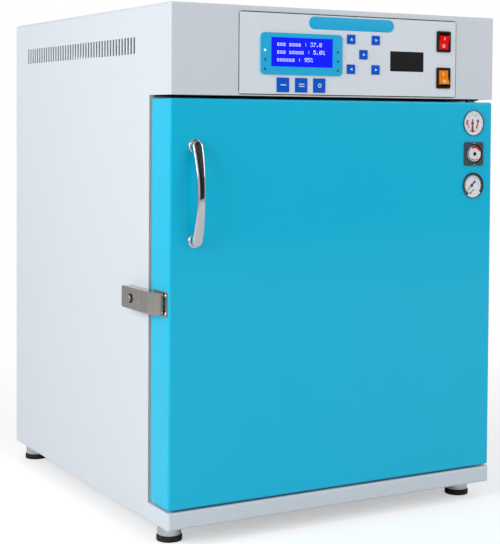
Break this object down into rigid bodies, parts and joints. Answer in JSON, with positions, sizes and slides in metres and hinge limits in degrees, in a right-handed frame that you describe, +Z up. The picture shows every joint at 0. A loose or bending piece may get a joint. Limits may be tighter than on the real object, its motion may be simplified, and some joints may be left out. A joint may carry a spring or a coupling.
{
  "type": "carbon dioxide incubator",
  "caption": "Bench-top carbon dioxide incubator: insulated cabinet with outer and glass doors, shelves, fan, gas inlet, control head, door gauges and a side latch.",
  "frame": {"origin": "on the bench surface, under the middle of the part's whole plan outline, which takes in the handle, the latch and the rear fittings", "axes": "+Z up, -Y towards the user in front of the door, +X to the user's right, the hinge side"},
  "size_m": [0.5666, 0.636, 0.738],
  "materials": {
    "white_enamel": "satin",
    "cyan_enamel": "gloss",
    "stainless": "satin",
    "chrome": "polished",
    "fibre": "matte",
    "panel_plastic": "satin",
    "surround_plastic": "gloss",
    "screen": "gloss",
    "dark_window": "gloss",
    "black_plastic": "satin",
    "red_plastic": "gloss",
    "orange_plastic": "gloss",
    "blue_key": "satin",
    "circuit_board": "satin",
    "zinc_plate": "satin",
    "seal_rubber": "matte",
    "dial_case": "polished",
    "clear_glass": "gloss",
    "needle_black": "matte",
    "dark_casting": "satin",
    "silver_knob": "satin",
    "white_plastic": "matte",
    "motor_paint": "satin",
    "heater_steel": "matte",
    "brass": "satin",
    "silicone": "matte",
    "foot_rubber": "matte"
  },
  "bodies": {
    "cabinet": {"side_panel_left": "white_enamel", "side_panel_right": "white_enamel", "head_cover": "white_enamel", "base_pan": "white_enamel", "rear_panel": "white_enamel", "front_frame": "white_enamel", "chamber_liner": "stainless", "fibre_insulation": "fibre", "control_panel": "panel_plastic", "display_surround": "surround_plastic", "lcd_screen": "screen", "display_window": "dark_window", "rocker_housings": "black_plastic", "control_board": "circuit_board", "power_supply": "zinc_plate", "hinge_pins": "stainless", "latch_base": "stainless", "shelf_racks": "stainless", "plenum_cover": "stainless", "fan_motor": "motor_paint", "heating_element": "heater_steel", "chamber_sensors": "stainless", "gas_valve": "brass", "power_inlet": "black_plastic", "port_tube": "stainless", "foot_sleeves": "chrome", "foot_pads": "foot_rubber"},
    "door": {"door_skin": "cyan_enamel", "door_liner": "stainless", "door_core": "fibre", "door_gasket": "seal_rubber", "handle_bar": "chrome", "handle_posts": "chrome", "strike_plate": "stainless", "gauge_cases": "dial_case", "gauge_lenses": "clear_glass", "regulator": "dark_casting", "hinge_bushes": "white_plastic"},
    "inner_door": {"inner_door_glass": "clear_glass", "inner_door_fittings": "stainless"},
    "latch_arm": {"latch_arm": "stainless"},
    "shelf_lower": {"shelf_lower": "stainless"},
    "shelf_middle": {"shelf_middle": "stainless"},
    "shelf_upper": {"shelf_upper": "stainless"},
    "water_pan": {"water_pan": "stainless"},
    "power_rocker": {"power_rocker": "red_plastic"},
    "lamp_rocker": {"lamp_rocker": "orange_plastic"},
    "regulator_knob": {"regulator_knob": "silver_knob"},
    "upper_needle": {"gauge_needle_upper": "needle_black"},
    "lower_needle": {"gauge_needle_lower": "needle_black"},
    "fan": {"fan_impeller": "white_plastic"},
    "port_stopper": {"port_stopper": "silicone"},
    "key_large_left": {"key_large_left": "blue_key"},
    "key_large_middle": {"key_large_middle": "blue_key"},
    "key_large_right": {"key_large_right": "blue_key"},
    "key_small_middle": {"key_small_middle": "blue_key"},
    "key_small_upper_left": {"key_small_upper_left": "blue_key"},
    "key_small_lower_left": {"key_small_lower_left": "blue_key"},
    "key_small_upper_right": {"key_small_upper_right": "blue_key"},
    "key_small_lower_right": {"key_small_lower_right": "blue_key"}
  },
  "joints": [
    {"name": "door_hinge", "type": "hinge", "parent": "cabinet", "child": "door", "pos_m": [0.26825, -0.26, 0.332], "axis": [0, 0, 1], "range_deg": [0, 120]},
    {"name": "inner_door_hinge", "type": "hinge", "parent": "cabinet", "child": "inner_door", "pos_m": [0.23075, -0.2346, 0.332], "axis": [0, 0, 1], "range_deg": [0, 102]},
    {"name": "latch_hinge", "type": "hinge", "parent": "cabinet", "child": "latch_arm", "pos_m": [-0.279, -0.229, 0.332], "axis": [0, 0, -1], "range_deg": [0, 100]},
    {"name": "shelf_lower_slide", "type": "slide", "parent": "cabinet", "child": "shelf_lower", "axis": [0, -1, 0], "range_m": [0, 0.027]},
    {"name": "shelf_middle_slide", "type": "slide", "parent": "cabinet", "child": "shelf_middle", "axis": [0, -1, 0], "range_m": [0, 0.027]},
    {"name": "shelf_upper_slide", "type": "slide", "parent": "cabinet", "child": "shelf_upper", "axis": [0, -1, 0], "range_m": [0, 0.027]},
    {"name": "water_pan_slide", "type": "slide", "parent": "cabinet", "child": "water_pan", "axis": [0, -1, 0], "range_m": [0, 0.027]},
    {"name": "power_rocker_tilt", "type": "hinge", "parent": "cabinet", "child": "power_rocker", "pos_m": [0.18725, -0.2933, 0.6989], "axis": [-1, 0, 0], "range_deg": [0, 24]},
    {"name": "lamp_rocker_tilt", "type": "hinge", "parent": "cabinet", "child": "lamp_rocker", "pos_m": [0.18725, -0.2933, 0.6448], "axis": [1, 0, 0], "range_deg": [0, 24]},
    {"name": "key_large_left_press", "type": "slide", "parent": "cabinet", "child": "key_large_left", "axis": [0, 1, 0], "range_m": [0, 0.0008], "stiffness_N_per_m": 600, "springref_m": -0.001},
    {"name": "key_large_middle_press", "type": "slide", "parent": "cabinet", "child": "key_large_middle", "axis": [0, 1, 0], "range_m": [0, 0.0008], "stiffness_N_per_m": 600, "springref_m": -0.001},
    {"name": "key_large_right_press", "type": "slide", "parent": "cabinet", "child": "key_large_right", "axis": [0, 1, 0], "range_m": [0, 0.0008], "stiffness_N_per_m": 600, "springref_m": -0.001},
    {"name": "key_small_middle_press", "type": "slide", "parent": "cabinet", "child": "key_small_middle", "axis": [0, 1, 0], "range_m": [0, 0.0008], "stiffness_N_per_m": 600, "springref_m": -0.001},
    {"name": "key_small_upper_left_press", "type": "slide", "parent": "cabinet", "child": "key_small_upper_left", "axis": [0, 1, 0], "range_m": [0, 0.0008], "stiffness_N_per_m": 600, "springref_m": -0.001},
    {"name": "key_small_lower_left_press", "type": "slide", "parent": "cabinet", "child": "key_small_lower_left", "axis": [0, 1, 0], "range_m": [0, 0.0008], "stiffness_N_per_m": 600, "springref_m": -0.001},
    {"name": "key_small_upper_right_press", "type": "slide", "parent": "cabinet", "child": "key_small_upper_right", "axis": [0, 1, 0], "range_m": [0, 0.0008], "stiffness_N_per_m": 600, "springref_m": -0.001},
    {"name": "key_small_lower_right_press", "type": "slide", "parent": "cabinet", "child": "key_small_lower_right", "axis": [0, 1, 0], "range_m": [0, 0.0008], "stiffness_N_per_m": 600, "springref_m": -0.001},
    {"name": "regulator_knob_turn", "type": "hinge", "parent": "door", "child": "regulator_knob", "pos_m": [0.24675, -0.296, 0.5314], "axis": [0, 1, 0], "range_deg": [0, 270]},
    {"name": "upper_needle_turn", "type": "hinge", "parent": "door", "child": "upper_needle", "pos_m": [0.24675, -0.296, 0.578], "axis": [0, 1, 0], "range_deg": [0, 300], "stiffness_Nm_per_rad": 0.0002, "springref_deg": -11.46},
    {"name": "lower_needle_turn", "type": "hinge", "parent": "door", "child": "lower_needle", "pos_m": [0.24675, -0.296, 0.4835], "axis": [0, 1, 0], "range_deg": [0, 270], "stiffness_Nm_per_rad": 0.0002, "springref_deg": -11.46},
    {"name": "fan_spin", "type": "hinge", "parent": "cabinet", "child": "fan", "pos_m": [0.00925, 0.199, 0.332], "axis": [0, 1, 0], "continuous": true},
    {"name": "port_stopper_pull", "type": "slide", "parent": "cabinet", "child": "port_stopper", "axis": [0, 1, 0], "range_m": [0, 0.05]}
  ],
  "couplings": [
    {"joint": "inner_door_hinge", "follows": "door_hinge", "ratio": 0.85}
  ]
}
